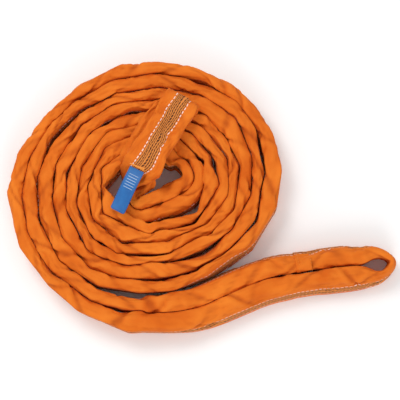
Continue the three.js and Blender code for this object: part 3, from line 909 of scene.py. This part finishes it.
def make_camera():
    data = bpy.data.cameras.new("camera")
    cam = bpy.data.objects.new("camera", data)
    bpy.context.scene.collection.objects.link(cam)
    e = math.radians(CAMERA["elevation"])
    back = Vector((0, -math.cos(e), math.sin(e)))
    cam.location = Vector(CAMERA["target"]) + back * CAMERA["distance"]
    cam.rotation_euler = back.to_track_quat("Z", "Y").to_euler()
    data.sensor_width = 36
    data.lens = 36 * CAMERA["distance"] / CAMERA["view"]
    data.clip_start, data.clip_end = 0.05, 50
    bpy.context.scene.camera = cam


def area_light(name, at, size, power, colour=(1, 1, 1)):
    data = bpy.data.lights.new(name, "AREA")
    data.size, data.energy, data.color = size, power, colour
    light = bpy.data.objects.new(name, data)
    light.location = at
    light.rotation_euler = Vector(at).to_track_quat("Z", "Y").to_euler()
    bpy.context.scene.collection.objects.link(light)


def make_stage():
    bpy.ops.mesh.primitive_plane_add(size=12)
    floor = bpy.context.object
    floor.name = "floor"
    n = Nodes("pale_floor")
    tone = n.mix(n.noise(3, 2), (0.96, 0.96, 0.96, 1), (0.98, 0.98, 0.98, 1))
    floor.data.materials.append(n.finish(Base_Color=tone, Roughness=0.9))
    world = bpy.data.worlds.new("studio")
    world.use_nodes = True
    world.node_tree.nodes["Background"].inputs["Color"].default_value = (1, 1, 1, 1)
    world.node_tree.nodes["Background"].inputs["Strength"].default_value = 0.74
    bpy.context.scene.world = world
    area_light("key", (-0.9, 0.9, 2.2), 1.0, 22)
    area_light("front", (0.4, -2.2, 1.6), 1.2, 16)
    bpy.context.scene.view_settings.view_transform = "Standard"


make_camera()
make_stage()
sleeve = sleeve_material()
loop = whole_loop()
across, flatwise, relief = sleeve_grid(loop)
moved = settled(placed(across, flatwise, loop), loop)
across, flatwise = across + moved[0], flatwise + moved[1]


def no_deeper(value, plain, share):
    """The value, kept on its own side and at least a share of the plain section's size out."""
    return np.sign(plain) * np.maximum(np.sign(plain) * value, share * np.abs(plain))


# The sleeve never sinks in as far as the yarn, which fills YARN_SHARE of the plain section.
YARN_SHARE = (0.5, 0.62)  # of its thickness and height
plain_x, plain_z = section(AROUND)
plain_x, plain_z = loop["thin"][:, None] * plain_x, loop["high"][:, None] * plain_z
across = no_deeper(across, plain_x, 0.64)
flatwise = no_deeper(flatwise, plain_z, 0.72)
grid = placed(across, flatwise, loop)

# ---- the sleeve's pieces ----
# A bight's piece reaches this far behind its hinge, and the tail's pieces this far behind theirs.
BEHIND_BIGHT, BEHIND_TAIL = -30.0, -50.0
tail_dir = heading_vector(TAIL_HEADING)
bight_x = ahead_of(loop["centre"], BIGHT_HINGE, BIGHT_AHEAD)
tail_x = ahead_of(loop["centre"], TAIL_HINGE, tail_dir)
inner_x = ahead_of(loop["centre"], INNER_HINGE, ALONG)
flat = np.abs(loop["tall"][:, 2]) < 0.3
outer_tip = int(np.argmax(bight_x))
inner_tip = int(np.argmax(np.where(flat, inner_x, -1e9)))
last_ring = len(loop["s"]) - 1


def first_index(mask, start):
    return start + int(np.argmax(mask[start:]))


def last_index(mask, end):
    return end - 1 - int(np.argmax(mask[:end][::-1]))


tail_start = first_index(bight_x < BEHIND_BIGHT, outer_tip)
coil_start = first_index(tail_x < BEHIND_TAIL, tail_start)
off_inner_bight = (inner_x < BEHIND_BIGHT) | ~flat
inner_start = last_index(off_inner_bight, inner_tip)
inner_end = first_index(off_inner_bight, inner_tip)
coil_end = last_index(tail_x < BEHIND_TAIL, last_ring + 1)
tail_end = last_index(bight_x < BEHIND_BIGHT, last_ring + 1)
PIECES = {
    "sleeve_outer_bight": (0, tail_start),
    "sleeve_tail_outer_leg": (tail_start, coil_start),
    "sleeve_coil_outer_leg": (coil_start, inner_start),
    "sleeve_inner_bight": (inner_start, inner_end),
    "sleeve_coil_inner_leg": (inner_end, coil_end),
    "sleeve_tail_inner_leg": (coil_end, tail_end),
    "sleeve_joint_inner_end": (tail_end, last_ring),
}
made = {}
FOLD_DEPTH = 3.0  # a fold this deep takes the full painted shade
# How strongly the folds take painted shade, and the ridges a painted highlight, worked out from the surface's
# relief.
painted_fold_light = -relief / FOLD_DEPTH
for name, (start, end) in PIECES.items():
    rings = slice(start, end + 1)
    made[name] = tube_mesh(name, grid[rings], loop["s"][rings], GIRTH, painted_fold_light[rings])
    made[name].data.materials.append(sleeve)


# ---- the load-bearing yarn inside the sleeve ----
CORE_STEP = 4  # every fourth ring and point of the sleeve's grid
yarn = yarn_material()
core = placed(plain_x * YARN_SHARE[0], plain_z * YARN_SHARE[1], loop)
for name, (start, end) in PIECES.items():
    if name == "sleeve_joint_inner_end":
        continue
    rows = np.unique(np.append(np.arange(start, end + 1, CORE_STEP), end))
    piece = name.replace("sleeve", "core")
    made[piece] = tube_mesh(piece, core[rows][:, ::CORE_STEP], loop["s"][rows], CORE_GIRTH)
    made[piece].data.materials.append(yarn)


# ---- the sewn joint: the sleeve's outer end lies folded over its inner end ----
def around_leg(s_at, stand_off):
    """The leg's surface at distances along the sleeve, standing off it, and its outward direction."""
    part = {}
    for k, v in loop.items():
        columns = v.reshape(len(v), -1)
        spread = np.column_stack([np.interp(s_at, loop["s"], c) for c in columns.T])
        part[k] = spread.reshape(len(s_at), *v.shape[1:])
    px = np.column_stack([np.interp(s_at, loop["s"], c) for c in across.T])
    pz = np.column_stack([np.interp(s_at, loop["s"], c) for c in flatwise.T])
    px = np.clip(px, -part["thin"][:, None], part["thin"][:, None])
    nx, nz = px / part["thin"][:, None], pz / part["high"][:, None]
    size = np.hypot(nx, nz)
    part["thin"] = part["thin"] + stand_off
    off = np.asarray(stand_off)[:, None]
    out = (nx / size)[..., None] * part["face"][:, None] + (nz / size)[..., None] * part["tall"][:, None]
    return placed(px + off * nx / size, pz + off * nz / size, part), out


def along_joint(ahead):
    """The distance along the sleeve at a place ahead of the outer bight's hinge."""
    return np.interp(ahead, bight_x[tail_end:], loop["s"][tail_end:])


HEM_FROM, HEM_TO = 28.0, 61.0  # ahead of the outer bight's hinge
# The hem's folded edge has close rings, and its other end tapers into the sleeve.
hem_s = along_joint(HEM_FROM) + np.array([0.0, 0.2, 0.7, 1.5, *range(3, 31, 3), HEM_TO - HEM_FROM])
HEM_OFF = np.array([0.1, 1.2, 1.9, 2.1, 2.1, 2.0, 1.8, 1.8, 1.8, 1.8, 1.8, 1.8, 1.7, 1.5, 0.2])
hem, _ = around_leg(hem_s, HEM_OFF)
made["sleeve_joint_hem"] = tube_mesh("sleeve_joint_hem", hem, hem_s, GIRTH)
made["sleeve_joint_hem"].data.materials.append(sleeve)
STITCH_ROWS = (34.0, 58.0)  # ahead of the outer bight's hinge
STITCH_LENGTH, STITCH_WIDTH = 3.4, 0.9
thread = thread_material()
for i, ahead in enumerate(STITCH_ROWS):
    points, out = around_leg(np.array([along_joint(ahead)]), np.array([2.0]))
    round_leg = np.roll(points[0], -1, axis=0) - np.roll(points[0], 1, axis=0)
    name = f"joint_stitches_{i + 1}"
    made[name] = stitches_mesh(
        name, points[0][::2], round_leg[::2], out[0][::2], STITCH_LENGTH, STITCH_WIDTH
    )
    made[name].data.materials.append(thread)

# ---- the label ----
LABEL_HINGE = np.array([-128.7, 41.1, 104.8]) - COIL_CENTRE
LABEL_ACROSS = unit(np.array([-0.84081, 0.46799, -0.27206]))
LABEL_SIZE, LABEL_CORNER, LABEL_DROOP = (33.0, 92.0), 4.0, 11.0
LABEL_LIFT, LABEL_THICKNESS = 1.2, 0.9
seat_normal = unit(np.cross(ALONG, LABEL_ACROSS))
droop = math.radians(LABEL_DROOP)
label_down = -ALONG * math.cos(droop) - seat_normal * math.sin(droop)
label_out = seat_normal * math.cos(droop) - ALONG * math.sin(droop)


def label_sheet(first, last, rows, columns, curl):
    """A grid across and down the label; its lower corners are rounded."""
    down = np.linspace(first, last, rows)
    beyond = np.clip(down - (LABEL_SIZE[1] - LABEL_CORNER), 0, LABEL_CORNER)
    half = LABEL_SIZE[0] / 2 - (LABEL_CORNER - np.sqrt(LABEL_CORNER**2 - beyond**2))
    share = np.linspace(-1, 1, columns)
    u, v = half[:, None] * share[None, :], np.repeat(down[:, None], columns, 1)
    lift = curl * (1.6 * (u / 16) ** 2 * smooth((v - 20) / 50) + 1.5 * np.sin(v / 17) * smooth(v / 25))
    lift = lift + LABEL_LIFT
    points = LABEL_HINGE + u[..., None] * LABEL_ACROSS + v[..., None] * label_down
    return points + lift[..., None] * label_out, np.stack([u, v], -1) * MM


label = label_material(*LABEL_SIZE)
label_grid, label_uv = label_sheet(0.0, LABEL_SIZE[1], 47, 17, 1.0)
made["label_tag_sheet"] = sheet_mesh("label_tag_sheet", label_grid, label_uv, LABEL_THICKNESS)
made["label_tag_sheet"].data.materials.append(label)
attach(made["label_tag_sheet"], "label")
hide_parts("label_tag")

# The label's upper edge is sewn down under a strip with two rows of thread. The strip follows the sleeve.
HEADER_FROM, HEADER_TO = -9.0, -1.9  # along the crossing from the label's hinge, away from the label
NEAR_RINGS = 60  # rings of the sleeve on either side of the label that the strip can touch
header_u = np.linspace(-LABEL_SIZE[0] / 2, LABEL_SIZE[0] / 2, 17)
hu, hv = np.meshgrid(header_u, np.linspace(HEADER_FROM, HEADER_TO, 9))
near = grid[inner_start - NEAR_RINGS : inner_start + NEAR_RINGS].reshape(-1, 3) - LABEL_HINGE
near = np.column_stack([near @ LABEL_ACROSS, near @ -ALONG, near @ seat_normal])
near = near[near[:, 2] > -8]


def surface_at(u, v):
    """The highest of the four points of the sleeve that are nearest, above the label's hinge."""
    nearest = np.argsort((near[:, 0] - u) ** 2 + (near[:, 1] - v) ** 2)[:4]
    return near[nearest, 2].max()


surface = np.array([surface_at(u, v) for u, v in zip(hu.ravel(), hv.ravel())]).reshape(hu.shape)
surface = blurred(np.clip(surface, -2, 7), 1.5)
header_grid = LABEL_HINGE + hu[..., None] * LABEL_ACROSS - hv[..., None] * ALONG
header_grid = header_grid + (surface + 1.6)[..., None] * seat_normal
header_uv = np.stack([hu, hv], -1) * MM
made["label_header"] = sheet_mesh("label_header", header_grid, header_uv, LABEL_THICKNESS)
made["label_header"].data.materials.append(thread)
places = np.concatenate([header_grid[row, 1:-1] for row in (2, 5)])
headings, outs = [np.tile(direction, (len(places), 1)) for direction in (LABEL_ACROSS, seat_normal)]
made["label_stitches"] = stitches_mesh("label_stitches", places, headings, outs, 1.5, 0.6)
made["label_stitches"].data.materials.append(thread)
for name in ("label_header", "label_stitches"):
    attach(made[name], "coil")
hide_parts("label_seam")


def bends(name):
    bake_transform(made[name])


for name in ("sleeve_outer_bight", "core_outer_bight", "sleeve_joint_inner_end", "sleeve_joint_hem"):
    bends(name)
for kind in ("sleeve", "core"):
    for leg in ("outer", "inner"):
        bends(f"{kind}_tail_{leg}_leg")
        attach(made[f"{kind}_coil_{leg}_leg"], "coil")
        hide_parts(f"tail_{kind}_{leg}_leg")
        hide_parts(f"coil_{kind}_{leg}_leg")
    bends(f"{kind}_inner_bight")
    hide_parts(f"outer_bight_{kind}")
    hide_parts(f"inner_bight_{kind}")
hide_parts("sleeve_joint_overlap")
for i in (1, 2):
    bends(f"joint_stitches_{i}")
    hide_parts(f"sleeve_joint_stitch_row_{i}")

for name in ("sleeve_outer_bight", "sleeve_coil_outer_leg", "sleeve_coil_inner_leg"):
    start, end = PIECES[name]
